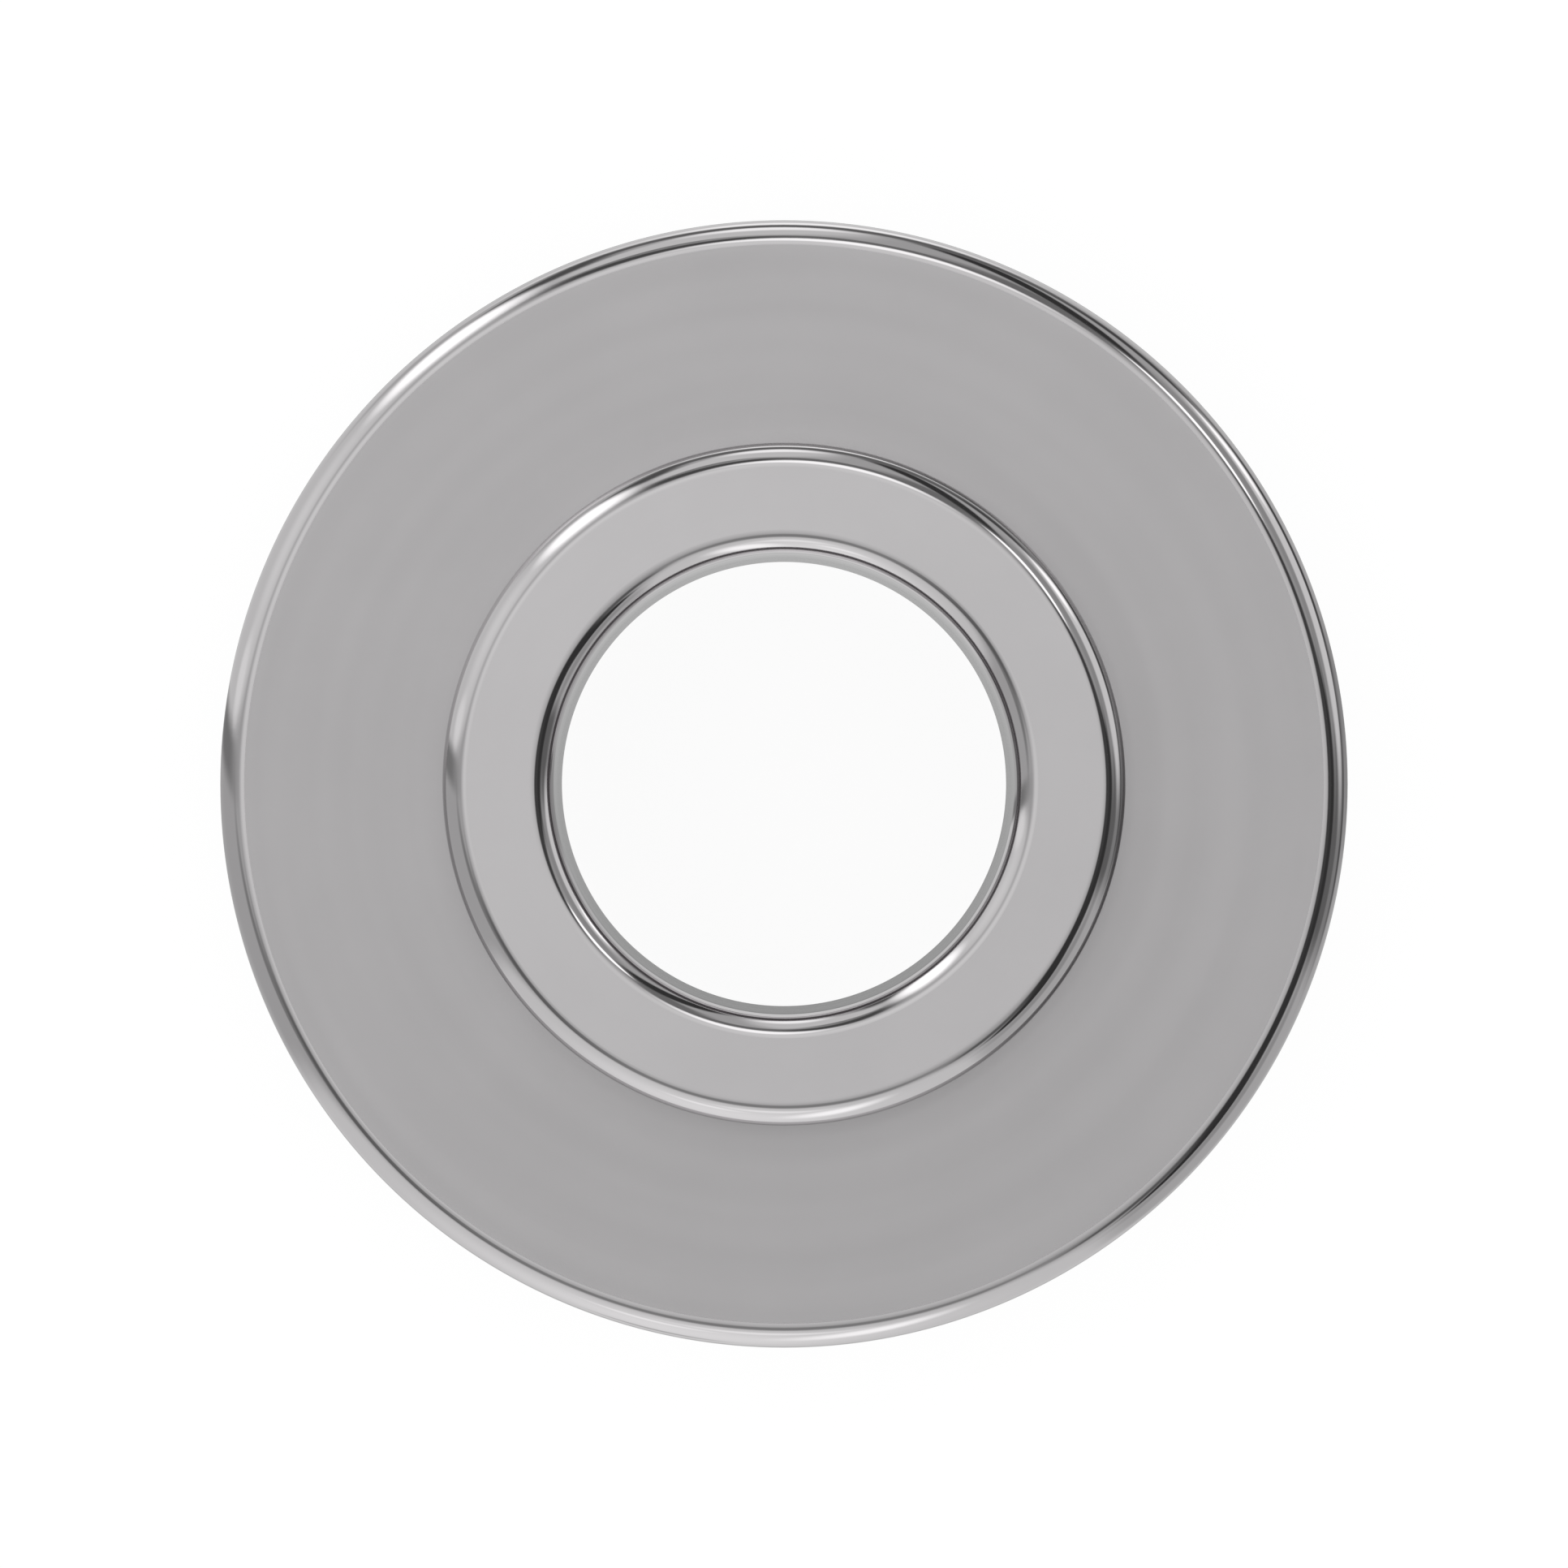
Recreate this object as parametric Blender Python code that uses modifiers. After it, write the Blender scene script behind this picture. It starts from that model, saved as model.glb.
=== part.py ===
"""Thick flat washer for an M12 bolt: a wide plate with a shouldered hub bush pressed into it.

The washer lies on the XY plane with its axis on +Z. The origin is the middle of the flat underside
that bears on the work, and the raised collar of the bush points up.
"""

import math

import bmesh
import bpy

MM = 0.001

# Driving dimensions of the washer
PLATE_DIAMETER = 33.0 * MM
PLATE_THICKNESS = 7.0 * MM
COLLAR_DIAMETER = 20.0 * MM
COLLAR_HEIGHT = 3.5 * MM
BORE_DIAMETER = 13.0 * MM
BORE_MOUTH_DIAMETER = 13.48 * MM
EDGE_RADIUS = 0.7 * MM

# The press fit of the bush in the plate
SPIGOT_DIAMETER = 17.0 * MM
SPIGOT_CHAMFER = 0.4 * MM
SEAT_CHAMFER = 0.5 * MM
FIT_GAP = 0.3 * MM
FOOT_RECESS = 0.2 * MM

# How finely the round faces are divided
TURN_STEPS = 96
EDGE_STEPS = 6
SHARP_ANGLE = math.radians(30)
MERGE_DISTANCE = 0.00001

PART_NAME = "flat_washer"


def clear_scene():
    for obj in list(bpy.data.objects):
        bpy.data.objects.remove(obj, do_unlink=True)


def make_metal(name, colour, roughness):
    """A bare metal, with its colour as linear RGB."""
    material = bpy.data.materials.new(name)
    material.use_nodes = True
    shader = material.node_tree.nodes["Principled BSDF"]
    shader.inputs["Base Color"].default_value = (*colour, 1.0)
    shader.inputs["Metallic"].default_value = 1.0
    shader.inputs["Roughness"].default_value = roughness
    return material


def round_corner(centre_x, centre_z, start, end):
    """Points of an edge's quarter round, from one compass angle in degrees to another."""
    points = []
    for step in range(EDGE_STEPS + 1):
        angle = math.radians(start + (end - start) * step / EDGE_STEPS)
        points.append(
            (centre_x + EDGE_RADIUS * math.cos(angle), centre_z + EDGE_RADIUS * math.sin(angle))
        )
    return points


def turned_piece(name, profile, height, material, collection, parent):
    """A closed half section at +X, swept once round +Z, standing at a height above the underside."""
    outline = bmesh.new()
    corners = [outline.verts.new((x, 0.0, z)) for x, z in profile]
    for index, corner in enumerate(corners):
        outline.edges.new((corner, corners[(index + 1) % len(corners)]))
    section = bpy.data.meshes.new(name + "_section")
    outline.to_mesh(section)
    outline.free()

    piece = bpy.data.objects.new(name, section)
    collection.objects.link(piece)
    turn = piece.modifiers.new("Turn", "SCREW")
    turn.axis = "Z"
    turn.angle = 2.0 * math.pi
    turn.steps = TURN_STEPS
    turn.render_steps = TURN_STEPS
    turn.use_merge_vertices = True
    turn.merge_threshold = MERGE_DISTANCE

    turned = bpy.data.meshes.new_from_object(
        piece.evaluated_get(bpy.context.evaluated_depsgraph_get())
    )
    piece.modifiers.remove(turn)
    piece.data = turned
    bpy.data.meshes.remove(section)
    turned.name = name
    turned.shade_smooth()
    turned.set_sharp_from_angle(angle=SHARP_ANGLE)
    turned.materials.append(material)
    piece.location.z = height
    piece.parent = parent
    return piece


def plate_profile():
    """The wide washer: flat faces, rounded rim edges and a seat hole for the bush."""
    rim = PLATE_DIAMETER / 2
    rim_centre = rim - EDGE_RADIUS
    seat = SPIGOT_DIAMETER / 2 + FIT_GAP
    profile = [(seat + SEAT_CHAMFER, PLATE_THICKNESS)]
    profile += round_corner(rim_centre, PLATE_THICKNESS - EDGE_RADIUS, 90, 0)
    profile += round_corner(rim_centre, EDGE_RADIUS, 0, -90)
    profile += [
        (seat + SEAT_CHAMFER, 0.0),
        (seat, SEAT_CHAMFER),
        (seat, PLATE_THICKNESS - SEAT_CHAMFER),
    ]
    return profile


def bush_profile():
    """The hub bush, with height zero at the plate's upper face and its spigot reaching below it."""
    collar = COLLAR_DIAMETER / 2
    spigot = SPIGOT_DIAMETER / 2
    mouth = BORE_MOUTH_DIAMETER / 2
    bore = BORE_DIAMETER / 2
    top_centre = COLLAR_HEIGHT - EDGE_RADIUS
    foot = FOOT_RECESS - PLATE_THICKNESS
    profile = round_corner(mouth + EDGE_RADIUS, top_centre, 180, 90)
    profile += round_corner(collar - EDGE_RADIUS, top_centre, 90, 0)
    profile += [
        (collar, FIT_GAP),
        (spigot, FIT_GAP),
        (spigot, foot + SPIGOT_CHAMFER),
        (spigot - SPIGOT_CHAMFER, foot),
    ]
    profile += round_corner(bore + EDGE_RADIUS, foot + EDGE_RADIUS, 270, 180)
    return profile


def build_washer():
    collection = bpy.data.collections.new(PART_NAME)
    bpy.context.scene.collection.children.link(collection)
    axis = bpy.data.objects.new(PART_NAME + "_axis", None)
    collection.objects.link(axis)
    plate_steel = make_metal("plate_steel", (0.58, 0.567, 0.573), 0.31)
    bush_steel = make_metal("bush_steel", (0.625, 0.611, 0.618), 0.12)
    turned_piece("flange_plate", plate_profile(), 0.0, plate_steel, collection, axis)
    turned_piece("hub_bush", bush_profile(), PLATE_THICKNESS, bush_steel, collection, axis)


clear_scene()
build_washer()
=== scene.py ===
"""Looks of the flat washer: fine turned surfaces, machined steel, and the light studio round it."""

import math
from collections import namedtuple

import bmesh
import bpy
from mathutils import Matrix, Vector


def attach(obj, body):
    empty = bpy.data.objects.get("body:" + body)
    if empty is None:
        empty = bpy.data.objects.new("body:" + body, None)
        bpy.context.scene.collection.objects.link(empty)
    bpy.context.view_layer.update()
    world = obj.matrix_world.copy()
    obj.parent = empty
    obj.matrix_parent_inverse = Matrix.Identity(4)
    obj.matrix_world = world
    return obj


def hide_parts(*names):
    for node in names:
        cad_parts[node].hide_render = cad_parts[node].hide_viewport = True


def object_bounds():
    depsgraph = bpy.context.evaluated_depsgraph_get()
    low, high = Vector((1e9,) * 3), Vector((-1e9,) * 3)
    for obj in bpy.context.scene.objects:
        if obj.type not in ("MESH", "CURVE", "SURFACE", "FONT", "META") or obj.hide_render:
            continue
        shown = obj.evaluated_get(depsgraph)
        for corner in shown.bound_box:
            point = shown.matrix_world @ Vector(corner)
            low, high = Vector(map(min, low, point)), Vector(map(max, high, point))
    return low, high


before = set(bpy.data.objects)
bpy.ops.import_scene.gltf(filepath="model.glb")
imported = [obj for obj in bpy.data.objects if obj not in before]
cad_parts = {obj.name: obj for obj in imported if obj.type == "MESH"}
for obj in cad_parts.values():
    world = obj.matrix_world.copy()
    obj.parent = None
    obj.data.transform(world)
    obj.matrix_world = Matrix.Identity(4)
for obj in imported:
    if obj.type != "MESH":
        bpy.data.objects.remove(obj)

cad_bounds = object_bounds()

MM = 0.001

# How finely the visible surfaces are turned
TURN_STEPS = 288
EDGE_STEPS = 16
SHARP_ANGLE = math.radians(25)

# A flat face's outermost strip, which keeps the shading of the round beside it off the face
FACE_MARGIN = 0.02 * MM

# The fine seam left where the bush sits in the plate and its collar rests on it
SEAM_WIDTH = 0.02 * MM

# Vertices count as being at one height when they are closer than this.
SAME_HEIGHT = 0.001 * MM

# The view: straight down the axis, with the washer across this share of the picture
FRAME_SHARE = 0.719
CAMERA_HEIGHT = 0.25


# ---------------------------------------------------------------- sizes, read from the frame

def half_section(node):
    """Every (radius, height) of a CAD node's vertices."""
    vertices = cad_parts[node].data.vertices
    return [(math.hypot(v.co.x, v.co.y), v.co.z) for v in vertices]


def radii_at(section, height):
    return [radius for radius, z in section if abs(z - height) < SAME_HEIGHT]


plate_section = half_section("flange_plate")
bush_section = half_section("hub_bush")

RIM = max(radius for radius, z in plate_section)
PLATE_TOP = max(z for radius, z in plate_section)
EDGE_RADIUS = RIM - max(radii_at(plate_section, PLATE_TOP))
SEAT = min(radius for radius, z in plate_section)
SEAT_CHAMFER = min(radii_at(plate_section, PLATE_TOP)) - SEAT

COLLAR = max(radius for radius, z in bush_section)
COLLAR_TOP = max(z for radius, z in bush_section)
BUSH_FOOT = min(z for radius, z in bush_section)
BORE = min(radius for radius, z in bush_section)
BORE_MOUTH = min(radii_at(bush_section, COLLAR_TOP)) - EDGE_RADIUS
SPIGOT_CHAMFER = (
    max(radius for radius, z in bush_section if z < PLATE_TOP)
    - max(radii_at(bush_section, BUSH_FOOT))
)


# ---------------------------------------------------------------- node building

def link_or_set(tree, socket, value):
    if isinstance(value, bpy.types.NodeSocket):
        tree.links.new(value, socket)
    else:
        socket.default_value = value


def maths(tree, operation, *values):
    node = tree.nodes.new("ShaderNodeMath")
    node.operation = operation
    for socket, value in zip(node.inputs, values):
        link_or_set(tree, socket, value)
    return node.outputs[0]


def smooth_step(tree, value, low, high, at_low=0.0, at_high=1.0):
    node = tree.nodes.new("ShaderNodeMapRange")
    node.interpolation_type = "SMOOTHSTEP"
    for name, setting in (
        ("Value", value), ("From Min", low), ("From Max", high),
        ("To Min", at_low), ("To Max", at_high),
    ):
        link_or_set(tree, node.inputs[name], setting)
    return node.outputs[0]


def blend_values(tree, share, first, second):
    node = tree.nodes.new("ShaderNodeMix")
    node.data_type = "FLOAT"
    link_or_set(tree, node.inputs["Factor"], share)
    link_or_set(tree, node.inputs["A"], first)
    link_or_set(tree, node.inputs["B"], second)
    return node.outputs["Result"]


def noise(tree, position, pattern):
    node = tree.nodes.new("ShaderNodeTexNoise")
    node.inputs["Scale"].default_value = pattern.scale
    node.inputs["Detail"].default_value = pattern.detail
    node.inputs["Roughness"].default_value = pattern.roughness
    tree.links.new(position, node.inputs["Vector"])
    return node.outputs["Fac"]


def combine(tree, x, y, z):
    node = tree.nodes.new("ShaderNodeCombineXYZ")
    for socket, value in zip(node.inputs, (x, y, z)):
        link_or_set(tree, socket, value)
    return node.outputs[0]


def separate(tree, vector):
    node = tree.nodes.new("ShaderNodeSeparateXYZ")
    tree.links.new(vector, node.inputs[0])
    return node.outputs


# ---------------------------------------------------------------- machined metal

# Bare steel mirrors a little more red light than green when it is seen face on.
STEEL_TINT = (1.010, 0.988, 1.000)

# A turned finish: how much light its flat faces and its other surfaces mirror, how rough its faces,
# rounded edges and upright walls are, how deep its tool marks are, and how much its faces dish.
Finish = namedtuple(
    "Finish", "face_tone edge_tone face_roughness edge_roughness wall_roughness mark_depth face_fall",
)

PLATE_FINISH = Finish(0.577, 0.62, 0.31, 0.055, 0.14, 0.0008 * MM, 0.024)
BUSH_FINISH = Finish(0.612, 0.62, 0.12, 0.055, 0.075, 0.0004 * MM, 0.022)

# How steeply a surface faces up or down where it starts and ends counting as a flat face or a wall
FACE_FACING = (0.9992, 0.9998)
WALL_FACING = (0.030, 0.042)

# A pattern in the metal: how fine it is, as features in a metre, how many finer layers it has, and
# how strong each layer is against the one before.
Pattern = namedtuple("Pattern", "scale detail roughness")

FINE_MARKS = Pattern(9000.0, 3.0, 0.6)
BROAD_MARKS = Pattern(1400.0, 2.0, 0.5)
GRAINS = Pattern(5200.0, 2.0, 0.5)
SMEARS = Pattern(260.0, 4.0, 0.6)

# The smear pattern's values between which the tone runs from its darkest to its lightest
SMEAR_SPREAD = (0.3, 0.7)

# How much the tool marks drift as they run round, against how they change across the cut
MARK_DRIFT = 0.02

# How far the patterns swing the roughness and the tone
MARK_ROUGHNESS = 0.10
SMEAR_ROUGHNESS = 0.05
SMEAR_TONE = 0.012

# The share of the tool marks that polishing leaves on a rounded edge, and the grains' share of a mark
POLISHED_MARKS = 0.15
GRAIN_SHARE = 0.2

# Light that has been mirrored from metal this many times is replaced by a painted glow: there the
# metal mirrors nothing and gives off even light at this level.
LAST_MIRROR = 3
PAINTED_GLOW_LEVEL = 0.22


def metal_zones(tree):
    """How much a spot lies on a flat face, and on an upright wall. A rounded edge is neither."""
    geometry = tree.nodes.new("ShaderNodeNewGeometry")
    facing = maths(tree, "ABSOLUTE", separate(tree, geometry.outputs["True Normal"])[2])
    on_face = smooth_step(tree, facing, *FACE_FACING)
    on_wall = smooth_step(tree, facing, *WALL_FACING, 1.0, 0.0)
    return on_face, on_wall


def turned_place(tree, place):
    """The distance from the axis, and a place that changes fast across the cut, slowly along it."""
    x, y, z = separate(tree, place)
    squares = [maths(tree, "MULTIPLY", side, side) for side in (x, y)]
    radius = maths(tree, "SQRT", maths(tree, "ADD", *squares))
    slow = [maths(tree, "MULTIPLY", side, MARK_DRIFT) for side in (x, y)]
    return radius, combine(tree, *slow, maths(tree, "ADD", radius, z))


def swung(tree, middle, pattern, reach):
    """A value that follows a pattern, which runs from 0 to 1, to both sides of its middle."""
    offset = maths(tree, "SUBTRACT", pattern, 0.5)
    return maths(tree, "ADD", middle, maths(tree, "MULTIPLY", offset, reach))


def metal_roughness(tree, finish, on_face, on_wall, along_cut, smears):
    """Polished edges with faint smears, and rougher walls and faces that vary from mark to mark."""
    marks = noise(tree, along_cut, BROAD_MARKS)
    edge = swung(tree, finish.edge_roughness, smears, SMEAR_ROUGHNESS)
    wall = swung(tree, finish.wall_roughness, marks, MARK_ROUGHNESS)
    face = swung(tree, finish.face_roughness, marks, MARK_ROUGHNESS)
    return blend_values(tree, on_face, blend_values(tree, on_wall, edge, wall), face)


def metal_tone(tree, finish, on_face, smears):
    """How much light is mirrored, with a faint clouding as on handled bare steel."""
    clouding = smooth_step(tree, smears, *SMEAR_SPREAD, 1.0 - SMEAR_TONE, 1.0 + SMEAR_TONE)
    tone = blend_values(tree, on_face, finish.edge_tone, finish.face_tone)
    return maths(tree, "MULTIPLY", tone, clouding)


def metal_relief(tree, finish, on_face, on_wall, radius, along_cut, place):
    """Height in metres: tool marks, grains, and faces that dish slightly towards their rims."""
    unpolished = maths(tree, "ADD", on_face, on_wall)
    mark_share = smooth_step(tree, unpolished, 0.0, 1.0, at_low=POLISHED_MARKS)
    fine = maths(tree, "MULTIPLY", noise(tree, along_cut, FINE_MARKS), mark_share)
    grains = maths(tree, "MULTIPLY", noise(tree, place, GRAINS), GRAIN_SHARE)
    marks = maths(tree, "MULTIPLY", maths(tree, "ADD", fine, grains), finish.mark_depth)
    fall = maths(tree, "MULTIPLY", maths(tree, "MULTIPLY", radius, on_face), finish.face_fall)
    return maths(tree, "SUBTRACT", marks, fall)


def colour_metal(tree, shader, tone):
    """The metal's colour. Where light has been mirrored over and over, a painted glow stands in: the
    metal gives off even light instead of mirroring.
    """
    times_mirrored = tree.nodes.new("ShaderNodeLightPath").outputs["Glossy Depth"]
    gets_painted_glow = maths(tree, "GREATER_THAN", times_mirrored, LAST_MIRROR - 0.5)
    tone = blend_values(tree, gets_painted_glow, tone, 0.0)
    tinted = combine(tree, *(maths(tree, "MULTIPLY", tone, tint) for tint in STEEL_TINT))
    tree.links.new(tinted, shader.inputs["Base Color"])
    # Painted glow: past the last mirror the steel gives off even light in place of what it would
    # mirror.
    shader.inputs["Emission Color"].default_value = (*STEEL_TINT, 1.0)
    tree.links.new(maths(tree, "MULTIPLY", gets_painted_glow, PAINTED_GLOW_LEVEL), shader.inputs["Emission Strength"])


def machined_metal(name, finish):
    """Bare turned steel: flat faces carry concentric tool marks, and rounded edges are polished."""
    material = bpy.data.materials.new(name)
    material.use_nodes = True
    tree = material.node_tree
    shader = tree.nodes["Principled BSDF"]
    shader.inputs["Metallic"].default_value = 1.0

    place = tree.nodes.new("ShaderNodeTexCoord").outputs["Object"]
    radius, along_cut = turned_place(tree, place)
    on_face, on_wall = metal_zones(tree)
    smears = noise(tree, place, SMEARS)

    roughness = metal_roughness(tree, finish, on_face, on_wall, along_cut, smears)
    tree.links.new(roughness, shader.inputs["Roughness"])

    # The relief is already in metres, so the bump takes it as it is.
    bump = tree.nodes.new("ShaderNodeBump")
    bump.inputs["Distance"].default_value = 1.0
    relief = metal_relief(tree, finish, on_face, on_wall, radius, along_cut, place)
    tree.links.new(relief, bump.inputs["Height"])
    tree.links.new(bump.outputs["Normal"], shader.inputs["Normal"])

    colour_metal(tree, shader, metal_tone(tree, finish, on_face, smears))
    material.cycles.emission_sampling = "NONE"
    return material


# ---------------------------------------------------------------- turned surfaces

def round_corner(centre_radius, centre_height, start, end):
    """An edge's quarter round, from one compass angle in degrees to another."""
    points = []
    for step in range(EDGE_STEPS + 1):
        angle = math.radians(start + (end - start) * step / EDGE_STEPS)
        radius = centre_radius + EDGE_RADIUS * math.cos(angle)
        height = centre_height + EDGE_RADIUS * math.sin(angle)
        points.append((radius, height))
    return points


def plate_outline():
    """The plate's half section, from the seat hole's upper edge outwards and back underneath."""
    centre = RIM - EDGE_RADIUS
    outline = [(SEAT + SEAT_CHAMFER, PLATE_TOP), (centre - FACE_MARGIN, PLATE_TOP)]
    outline += round_corner(centre, PLATE_TOP - EDGE_RADIUS, 90, 0)
    outline += round_corner(centre, EDGE_RADIUS, 0, -90)
    outline += [
        (centre - FACE_MARGIN, 0.0),
        (SEAT + SEAT_CHAMFER, 0.0),
        (SEAT, SEAT_CHAMFER),
        (SEAT, PLATE_TOP - SEAT_CHAMFER),
    ]
    return outline


def bush_outline():
    """The bush's half section, from the foot of the bore up over the collar and down the spigot."""
    mouth_centre = BORE_MOUTH + EDGE_RADIUS
    collar_centre = COLLAR - EDGE_RADIUS
    edge_height = COLLAR_TOP - EDGE_RADIUS
    spigot = SEAT - SEAM_WIDTH
    outline = round_corner(BORE + EDGE_RADIUS, BUSH_FOOT + EDGE_RADIUS, 270, 180)
    outline += round_corner(mouth_centre, edge_height, 180, 90)
    outline += [(mouth_centre + FACE_MARGIN, COLLAR_TOP), (collar_centre - FACE_MARGIN, COLLAR_TOP)]
    outline += round_corner(collar_centre, edge_height, 90, 0)
    outline += [
        (COLLAR, PLATE_TOP + SEAM_WIDTH),
        (spigot, PLATE_TOP + SEAM_WIDTH),
        (spigot, BUSH_FOOT + SPIGOT_CHAMFER),
        (spigot - SPIGOT_CHAMFER, BUSH_FOOT),
    ]
    return outline


def turned(name, outline, material):
    """A closed ring swept round +Z from its half section."""
    shape = bmesh.new()
    section = [shape.verts.new((radius, 0.0, height)) for radius, height in outline]
    edges = [shape.edges.new((v, section[(i + 1) % len(section)])) for i, v in enumerate(section)]
    bmesh.ops.spin(
        shape, geom=section + edges, cent=(0, 0, 0), axis=(0, 0, 1),
        angle=2 * math.pi, steps=TURN_STEPS, use_merge=True,
    )
    bmesh.ops.recalc_face_normals(shape, faces=shape.faces)
    mesh = bpy.data.meshes.new(name)
    shape.to_mesh(mesh)
    shape.free()
    mesh.shade_smooth()
    mesh.set_sharp_from_angle(angle=SHARP_ANGLE)
    mesh.materials.append(material)
    piece = bpy.data.objects.new(name, mesh)
    bpy.context.scene.collection.objects.link(piece)
    return piece


def build_washer():
    plate = turned("plate_surface", plate_outline(), machined_metal("faced_steel", PLATE_FINISH))
    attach(plate, "root")
    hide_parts("flange_plate")
    bush = turned("bush_surface", bush_outline(), machined_metal("bright_steel", BUSH_FINISH))
    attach(bush, "root")
    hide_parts("hub_bush")


# ---------------------------------------------------------------- studio

# A soft patch of the room: where its middle is and how far it reaches, in degrees, how soft its edge
# is as a share of its size, and its brightness. Azimuth turns from +X towards +Y, and polar is the
# angle down from straight overhead. Squareness 2 is an ellipse, and higher is closer to a rectangle.
Patch = namedtuple("Patch", "name azimuth polar half_width half_height softness level tilt squareness")


def patch(name, azimuth, polar, half_width, half_height, softness, level, tilt=0.0, squareness=2.0):
    return Patch(name, azimuth, polar, half_width, half_height, softness, level, tilt, squareness)


# The bare room. The ceiling brightens towards one azimuth. The ground is brighter to +Y and -Y than
# to +X and -X. Straight underneath is the shaded ground below the part, brighter towards -Y.
CEILING_LEVEL = 0.785
CEILING_SLOPE = 0.78
CEILING_BRIGHT_SIDE = 122.0
WALL_LEVEL = 0.50
GROUND_LEVEL = 0.66
GROUND_SWING = 0.15
UNDERNEATH_LEVEL = 0.405
UNDERNEATH_SLOPE = 1.6

# The polar angles over which each part of the room runs into the next
CEILING_TO_WALL = (8.5, 29.5)
WALL_TO_GROUND = (105.0, 135.0)
GROUND_TO_UNDERNEATH = (160.0, 172.0)

# What the camera sees behind the floor, and the even light that falls on the floor
PLAIN_BACKGROUND_LEVEL = 1.0
PLAIN_ROOM_LEVEL = 0.8

FLOOR_SIZE = 20.0
FLOOR_GAP = 0.01 * MM
FLOOR_TONE = 0.125
FLOOR_GLOW = 0.92

# Later patches lie over earlier ones.
ROOM = (
    patch("shade_beside_wide_wall", 203, 37.5, 21, 7, 0.5, 0.26, tilt=-30),
    patch("white_wall", 145, 130, 29, 101, 0.08, 0.75, squareness=8),
    patch("glow_on_white_wall", 152, 56, 15, 20, 0.9, 0.90),
    patch("wall_corner_gleam", 169, 68, 4.5, 18, 0.5, 0.98),
    patch("wide_white_wall", 259.5, 130, 48, 96, 0.10, 0.79, squareness=5),
    patch("glow_on_wide_wall", 259, 90, 22, 37, 0.9, 1.07),
    patch("spot_on_wide_wall", 257, 124, 6, 6, 0.7, 0.60),
    patch("foot_of_wide_wall", 262, 160, 62, 13, 0.4, 0.60, squareness=3),
    patch("wall_corner", 175.5, 110, 2.8, 60, 0.6, 0.25, tilt=3, squareness=4),
    patch("ceiling_shade", 222, 17, 28, 8, 0.6, 0.58),
    patch("shade_over_wide_wall", 223, 27, 26, 8.5, 0.5, 0.15),
    patch("shade_over_wide_wall_far", 268, 26.5, 38, 6.7, 0.5, 0.29, tilt=2),
    patch("lamp_on_wide_wall", 279, 73, 6, 16, 0.7, 1.45, tilt=18),
    patch("small_lamp_on_wide_wall", 256, 66, 6, 4.5, 0.7, 1.25),
    patch("high_lamp_on_wide_wall", 268, 53, 9, 5, 0.7, 1.18),
    patch("grey_wall", 325, 96, 19, 40, 0.20, 0.55, squareness=3),
    patch("grey_wall_top", 326, 68, 17, 11, 0.5, 0.38),
    patch("dim_corner", 354, 66, 13, 22, 0.3, 0.16, squareness=3),
    patch("dim_corner_foot", 353, 97, 12, 16, 0.4, 0.29, squareness=3),
    patch("grey_upper_wall", 26, 56, 24, 12, 0.35, 0.36, squareness=3),
    patch("dark_cornice", 345, 37, 33, 15, 0.25, 0.045, squareness=2.6),
    patch("dark_cornice_corner", 309, 35, 9, 6, 0.6, 0.13),
    patch("dark_cornice_end", 10, 28.5, 29, 8, 0.4, 0.07, tilt=-4),
    patch("dark_cornice_foot", 319, 50, 11, 7, 0.3, 0.04),
    patch("dark_lintel", 84, 36, 33, 7, 0.3, 0.20, squareness=4),
    patch("dark_lintel_end", 103.5, 39.5, 11.5, 13, 0.3, 0.09, squareness=3),
    patch("shade_by_small_window", 61, 45, 11, 11, 0.5, 0.21),
    patch("skylight", 81, 24, 19, 6.5, 0.5, 1.50),
    patch("window_glow", 22, 42, 10, 5, 0.6, 0.42, tilt=-15),
    patch("small_window", 40.5, 37.3, 11, 4.8, 0.25, 1.8, tilt=18, squareness=2.6),
    patch("low_screen", 22, 85, 22.5, 18, 0.3, 0.84, squareness=2.4),
    patch("low_screen_lamp", 36.5, 88, 6, 10, 0.5, 1.60),
    patch("hung_cloth", 99, 62, 16, 19, 0.3, 0.77),
    patch("hung_cloth_top", 104, 47, 9, 4, 0.6, 0.28),
    patch("hung_cloth_foot", 92, 75, 11, 16, 0.35, 0.76),
    patch("dark_drape", 62, 69, 26, 6.5, 0.3, 0.045, tilt=62, squareness=2.6),
    patch("dark_bench", 81, 99.5, 38, 9, 0.3, 0.17, squareness=4),
    patch("dark_bench_end", 51, 95, 9, 8, 0.5, 0.08),
    patch("hung_cloth_lamp", 91.5, 82, 8, 8, 0.6, 1.35),
    patch("dark_post", 116, 93, 8, 18, 0.4, 0.11, squareness=3),
    patch("dim_foot_of_window", 128, 108, 13, 11, 0.5, 0.56),
    patch("tall_window", 127.4, 66, 9.2, 24, 0.45, 1.75, squareness=2.3),
    patch("dark_plinth", 14, 110.5, 29, 9, 0.4, 0.08, squareness=3),
    patch("plinth_shadow", 8, 119, 5.5, 12, 0.6, 0.13),
    patch("bright_rug", 87, 119, 20, 9, 0.6, 1.35),
    patch("side_of_bright_rug", 112, 120, 10, 7, 0.8, 0.95),
    patch("dim_ground", 5, 149, 12, 35, 0.5, 0.35, squareness=3),
)


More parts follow.
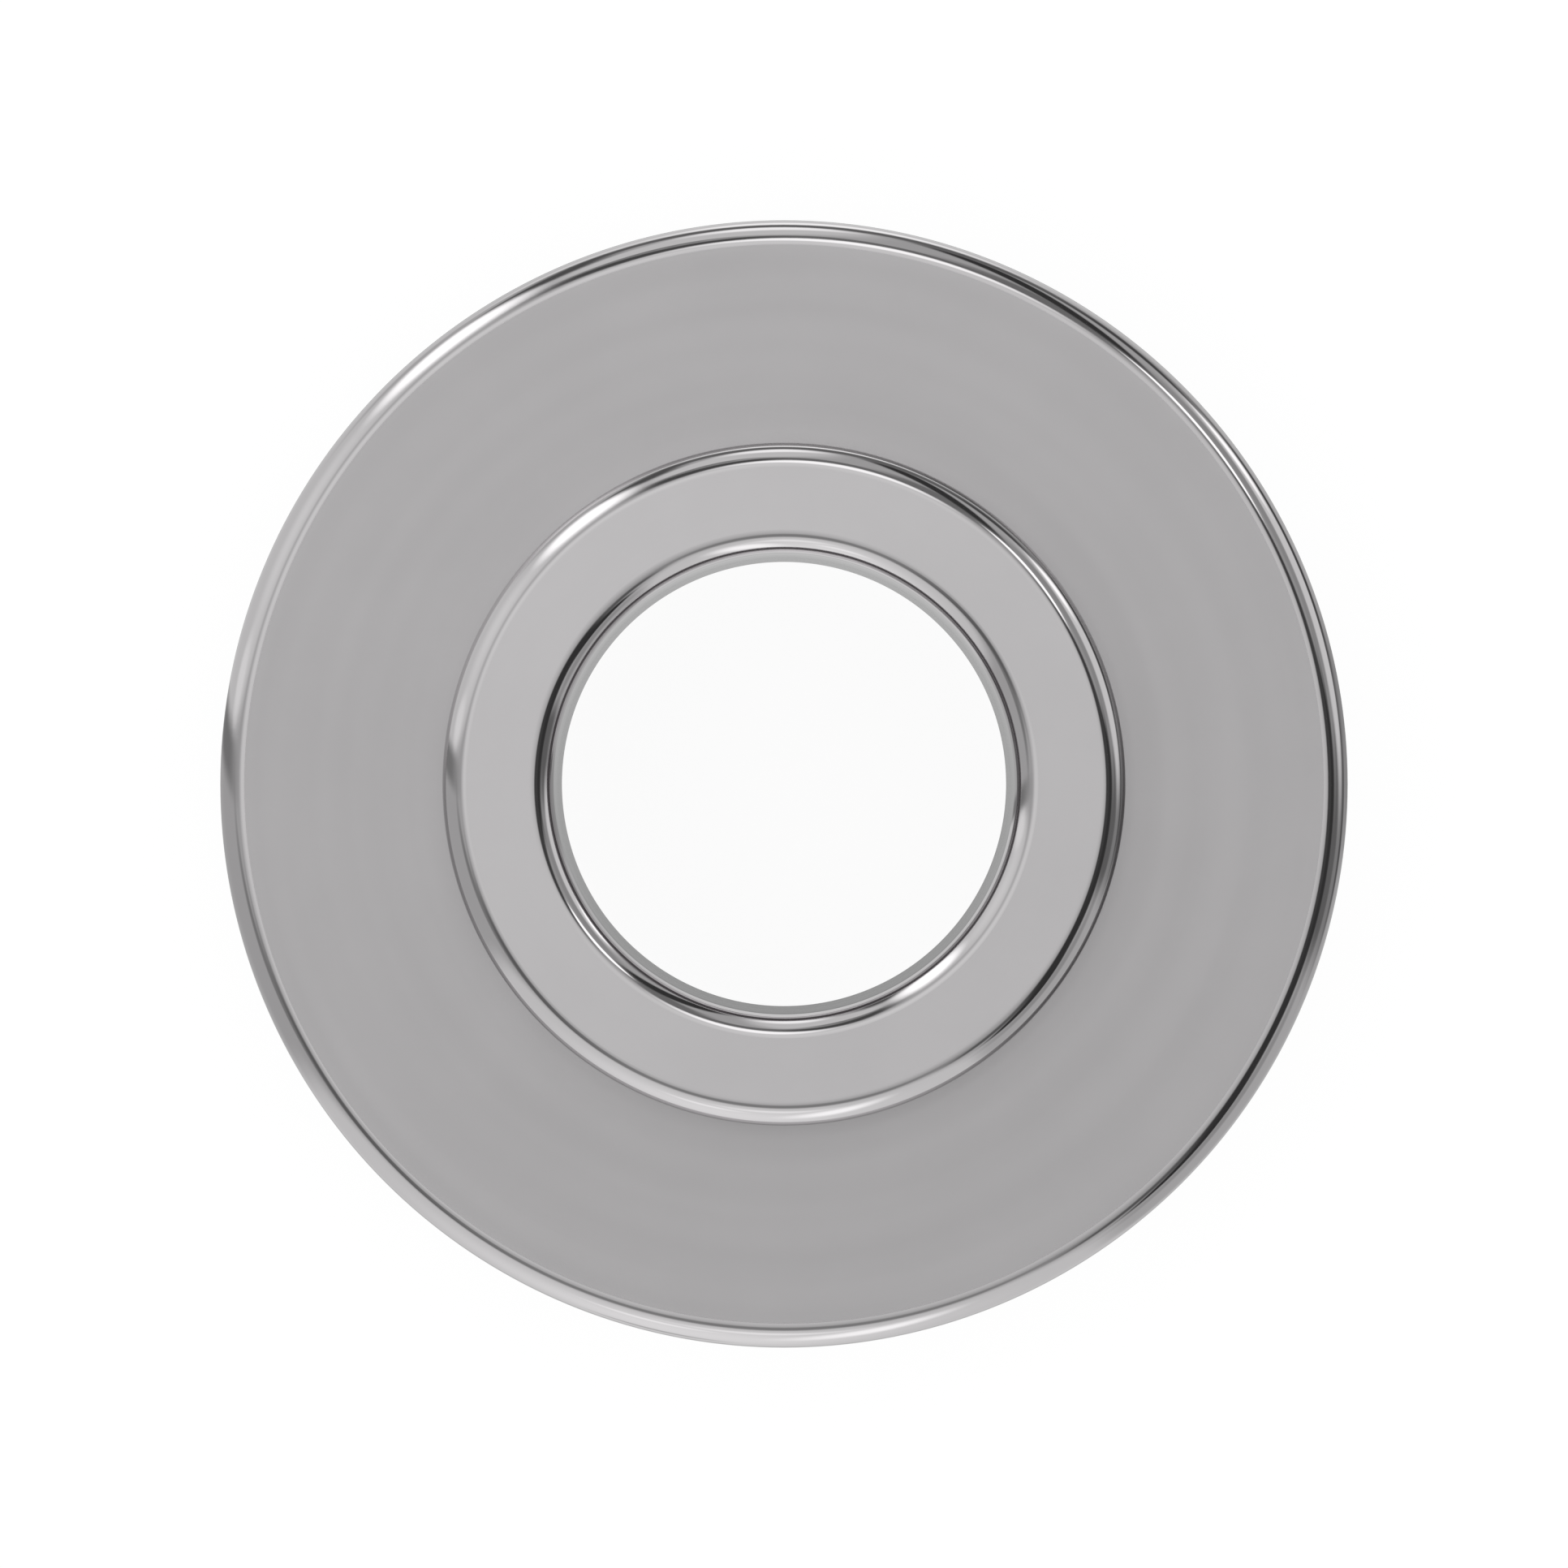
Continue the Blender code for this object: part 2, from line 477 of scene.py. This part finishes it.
def patch_distance(tree, given):
    """How far a direction is from a patch's middle, with 1 in the middle of its soft edge."""
    turn = maths(tree, "SUBTRACT", given["Azimuth"], given["Middle Azimuth"])
    turn = maths(tree, "WRAP", turn, 180.0, -180.0)
    drop = maths(tree, "SUBTRACT", given["Polar"], given["Middle Polar"])
    across = maths(
        tree, "ADD",
        maths(tree, "MULTIPLY", turn, given["Cosine"]),
        maths(tree, "MULTIPLY", drop, given["Sine"]),
    )
    down = maths(
        tree, "SUBTRACT",
        maths(tree, "MULTIPLY", drop, given["Cosine"]),
        maths(tree, "MULTIPLY", turn, given["Sine"]),
    )
    reach = []
    for offset, size in ((across, "Half Width"), (down, "Half Height")):
        share = maths(tree, "ABSOLUTE", maths(tree, "DIVIDE", offset, given[size]))
        reach.append(maths(tree, "POWER", share, given["Squareness"]))
    root = maths(tree, "DIVIDE", 1.0, given["Squareness"])
    return maths(tree, "POWER", maths(tree, "ADD", *reach), root)


def patch_group():
    """A node group that lays one soft patch over a brightness."""
    tree = bpy.data.node_groups.new("soft_patch", "ShaderNodeTree")
    names = (
        "Below", "Azimuth", "Polar", "Middle Azimuth", "Middle Polar",
        "Half Width", "Half Height", "Cosine", "Sine", "Squareness", "Softness", "Level",
    )
    for name in names:
        tree.interface.new_socket(name, in_out="INPUT", socket_type="NodeSocketFloat")
    tree.interface.new_socket("Result", in_out="OUTPUT", socket_type="NodeSocketFloat")
    given = tree.nodes.new("NodeGroupInput").outputs
    inner = maths(tree, "SUBTRACT", 1.0, given["Softness"])
    outer = maths(tree, "ADD", 1.0, given["Softness"])
    cover = smooth_step(tree, patch_distance(tree, given), inner, outer, 1.0, 0.0)
    result = blend_values(tree, cover, given["Below"], given["Level"])
    tree.links.new(result, tree.nodes.new("NodeGroupOutput").inputs["Result"])
    return tree


def lay_patch(tree, group, below, azimuth, polar, spot):
    node = tree.nodes.new("ShaderNodeGroup")
    node.node_tree = group
    node.label = spot.name
    tilt = math.radians(spot.tilt)
    for name, value in (
        ("Below", below), ("Azimuth", azimuth), ("Polar", polar),
        ("Middle Azimuth", spot.azimuth), ("Middle Polar", spot.polar),
        ("Half Width", spot.half_width), ("Half Height", spot.half_height),
        ("Cosine", math.cos(tilt)), ("Sine", math.sin(tilt)),
        ("Squareness", spot.squareness), ("Softness", spot.softness), ("Level", spot.level),
    ):
        link_or_set(tree, node.inputs[name], value)
    return node.outputs["Result"]


def bare_room(tree, x, y, azimuth, polar):
    """The brightness of the empty room: its ceiling, its walls and its ground."""
    bright_side = math.radians(CEILING_BRIGHT_SIDE)
    towards = maths(
        tree, "ADD",
        maths(tree, "MULTIPLY", x, CEILING_SLOPE * math.cos(bright_side)),
        maths(tree, "MULTIPLY", y, CEILING_SLOPE * math.sin(bright_side)),
    )
    ceiling = maths(tree, "ADD", towards, CEILING_LEVEL)
    swing = maths(tree, "COSINE", maths(tree, "RADIANS", maths(tree, "MULTIPLY", azimuth, 2.0)))
    ground = maths(tree, "SUBTRACT", GROUND_LEVEL, maths(tree, "MULTIPLY", swing, GROUND_SWING))
    lower = blend_values(tree, smooth_step(tree, polar, *WALL_TO_GROUND), WALL_LEVEL, ground)
    return blend_values(tree, smooth_step(tree, polar, *CEILING_TO_WALL), ceiling, lower)


def room_brightness(tree):
    """The bare room, the patches laid over it, and the shaded ground straight underneath."""
    x, y, z = separate(tree, tree.nodes.new("ShaderNodeTexCoord").outputs["Generated"])
    azimuth = maths(tree, "DEGREES", maths(tree, "ARCTAN2", y, x))
    polar = maths(tree, "DEGREES", maths(tree, "ARCCOSINE", z))
    brightness = bare_room(tree, x, y, azimuth, polar)
    group = patch_group()
    for spot in ROOM:
        brightness = lay_patch(tree, group, brightness, azimuth, polar, spot)
    shade = maths(tree, "SUBTRACT", UNDERNEATH_LEVEL, maths(tree, "MULTIPLY", y, UNDERNEATH_SLOPE))
    is_underneath = smooth_step(tree, polar, *GROUND_TO_UNDERNEATH)
    return blend_values(tree, is_underneath, brightness, shade)


def build_room():
    """The light room that the metal mirrors. The camera and the floor see plain light instead."""
    world = bpy.data.worlds.new("light_room")
    world.use_nodes = True
    bpy.context.scene.world = world
    tree = world.node_tree
    sight = tree.nodes.new("ShaderNodeLightPath").outputs
    in_view = sight["Is Camera Ray"]
    room = tree.nodes["Background"]
    plain = tree.nodes.new("ShaderNodeBackground")
    plain_level = blend_values(tree, in_view, PLAIN_ROOM_LEVEL, PLAIN_BACKGROUND_LEVEL)
    for background, level in ((room, room_brightness(tree)), (plain, plain_level)):
        tree.links.new(level, background.inputs["Strength"])
        background.inputs["Color"].default_value = (1.0, 1.0, 1.0, 1.0)
    chosen = tree.nodes.new("ShaderNodeMixShader")
    sees_plain = maths(tree, "MAXIMUM", in_view, sight["Is Diffuse Ray"])
    tree.links.new(sees_plain, chosen.inputs[0])
    tree.links.new(room.outputs[0], chosen.inputs[1])
    tree.links.new(plain.outputs[0], chosen.inputs[2])
    tree.links.new(chosen.outputs[0], tree.nodes["World Output"].inputs["Surface"])
    world.cycles.sampling_method = "NONE"


def build_floor():
    """A plain white floor that glows, so the shadow on it stays faint. It can't be seen from below."""
    material = bpy.data.materials.new("white_floor")
    material.use_nodes = True
    tree = material.node_tree
    shader = tree.nodes["Principled BSDF"]
    shader.inputs["Base Color"].default_value = (FLOOR_TONE, FLOOR_TONE, FLOOR_TONE, 1.0)
    shader.inputs["Specular IOR Level"].default_value = 0.0
    shader.inputs["Emission Color"].default_value = (1.0, 1.0, 1.0, 1.0)
    shader.inputs["Emission Strength"].default_value = FLOOR_GLOW
    material.cycles.emission_sampling = "NONE"
    one_sided = tree.nodes.new("ShaderNodeMixShader")
    tree.links.new(tree.nodes.new("ShaderNodeNewGeometry").outputs["Backfacing"], one_sided.inputs[0])
    tree.links.new(shader.outputs[0], one_sided.inputs[1])
    tree.links.new(tree.nodes.new("ShaderNodeBsdfTransparent").outputs[0], one_sided.inputs[2])
    tree.links.new(one_sided.outputs[0], tree.nodes["Material Output"].inputs["Surface"])
    bpy.ops.mesh.primitive_plane_add(size=FLOOR_SIZE, location=(0, 0, cad_bounds[0].z - FLOOR_GAP))
    floor = bpy.context.object
    floor.name = "floor"
    floor.data.materials.append(material)
    floor.visible_glossy = False


def build_camera():
    """Straight down the axis, with no perspective."""
    width = cad_bounds[1].x - cad_bounds[0].x
    data = bpy.data.cameras.new("camera")
    data.type = "ORTHO"
    data.ortho_scale = width / FRAME_SHARE
    camera = bpy.data.objects.new("camera", data)
    camera.location = (0.0, 0.0, CAMERA_HEIGHT)
    bpy.context.scene.collection.objects.link(camera)
    bpy.context.scene.camera = camera


build_washer()
build_room()
build_floor()
build_camera()
bpy.context.scene.view_settings.view_transform = "Standard"
